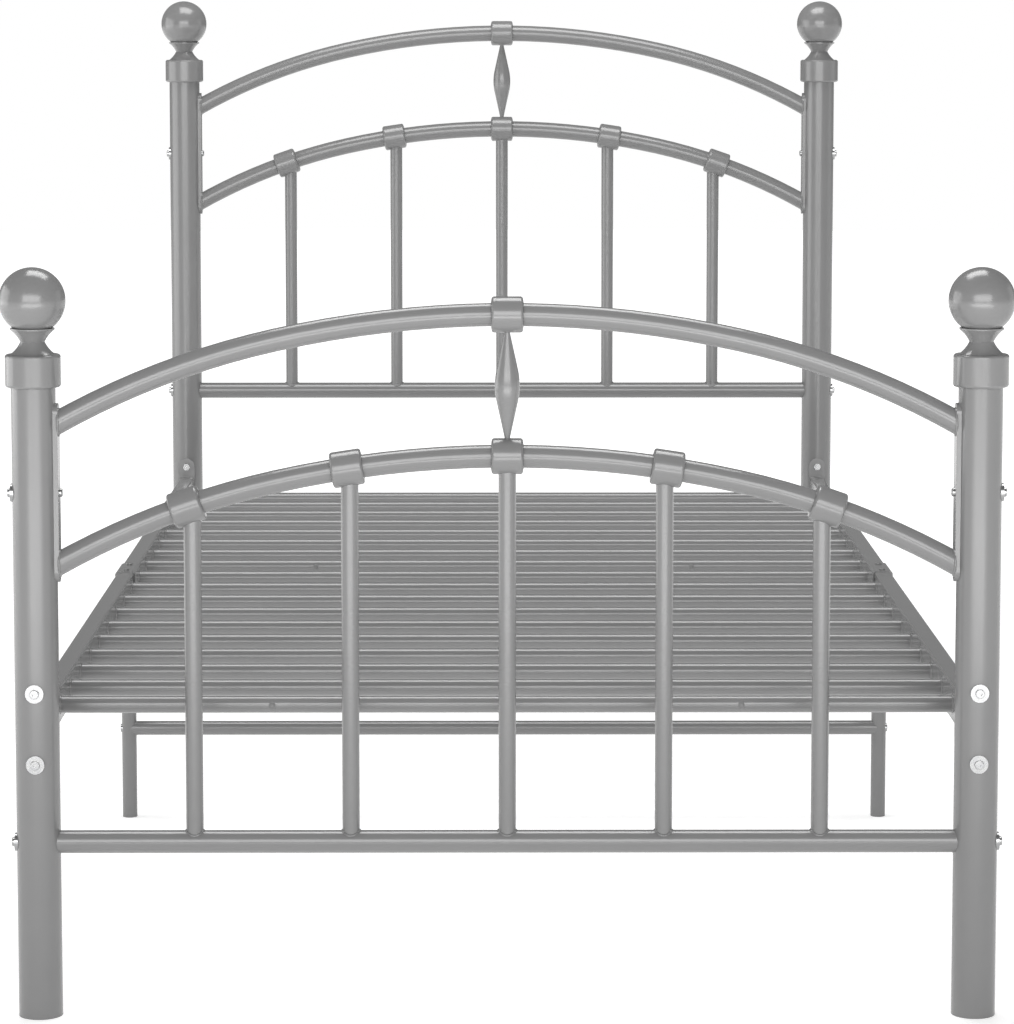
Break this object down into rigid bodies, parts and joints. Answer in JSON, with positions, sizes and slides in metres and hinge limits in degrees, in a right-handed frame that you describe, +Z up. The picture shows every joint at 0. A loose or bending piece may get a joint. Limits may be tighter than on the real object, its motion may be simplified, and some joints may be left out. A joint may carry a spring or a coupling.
{
  "type": "metal bed frame",
  "caption": "Single bed frame of round steel tube: arched head and foot ends with ball-topped posts, bolted side rails with cross tubes, and middle legs.",
  "frame": {"origin": "on the floor, in the middle of the bed", "axes": "+Z up, +X across the bed to the right seen from the foot, +Y along the bed to the head end"},
  "size_m": [1.092, 2.126, 1.108],
  "materials": {
    "coated_tube": "satin powder coat, mid grey",
    "coated_castings": "satin powder coat, mid grey",
    "coated_balls": "satin powder coat, mid grey",
    "coated_screws": "satin powder coat, mid grey",
    "zinc_hardware": "bright zinc plate",
    "grey_plastic": "moulded, matt",
    "plug_plastic": "moulded, satin"
  },
  "bodies": {
    "root": {"bar_foot_1": "coated_tube", "bar_foot_2": "coated_tube", "bar_foot_3": "coated_tube", "bar_foot_4": "coated_tube", "bar_foot_5": "coated_tube", "bar_head_1": "coated_tube", "bar_head_2": "coated_tube", "bar_head_3": "coated_tube", "bar_head_4": "coated_tube", "bar_head_5": "coated_tube", "cross_tubes_foot": "coated_tube", "cross_tubes_head": "coated_tube", "end_plate_foot_left": "coated_tube", "end_plate_foot_right": "coated_tube", "end_plate_head_left": "coated_tube", "end_plate_head_right": "coated_tube", "finial_ball_foot_left": "coated_balls", "finial_ball_foot_right": "coated_balls", "finial_ball_head_left": "coated_balls", "finial_ball_head_right": "coated_balls", "finial_cap_foot_left": "coated_castings", "finial_cap_foot_right": "coated_castings", "finial_cap_head_left": "coated_castings", "finial_cap_head_right": "coated_castings", "foot_plugs": "grey_plastic", "hole_plugs": "plug_plastic", "leg_bolts": "zinc_hardware", "lower_arch_foot": "coated_tube", "lower_arch_head": "coated_tube", "lower_collars_foot": "coated_castings", "lower_collars_head": "coated_castings", "lower_rail_foot": "coated_tube", "lower_rail_head": "coated_tube", "middle_cross_tube": "coated_tube", "middle_leg_left": "coated_tube", "middle_leg_right": "coated_tube", "nuts": "zinc_hardware", "post_foot_left": "coated_tube", "post_foot_right": "coated_tube", "post_head_left": "coated_tube", "post_head_right": "coated_tube", "rail_bolts": "zinc_hardware", "rail_saddle_left": "coated_tube", "rail_saddle_right": "coated_tube", "saddle_screws": "coated_screws", "side_bolts": "zinc_hardware", "side_plate_foot_left": "coated_tube", "side_plate_foot_right": "coated_tube", "side_plate_head_left": "coated_tube", "side_plate_head_right": "coated_tube", "side_rail_foot_left": "coated_tube", "side_rail_foot_right": "coated_tube", "side_rail_head_left": "coated_tube", "side_rail_head_right": "coated_tube", "spindle_foot": "coated_castings", "spindle_head": "coated_castings", "upper_arch_foot": "coated_tube", "upper_arch_head": "coated_tube", "upper_collar_foot": "coated_castings", "upper_collar_head": "coated_castings"}
  },
  "joints": []
}
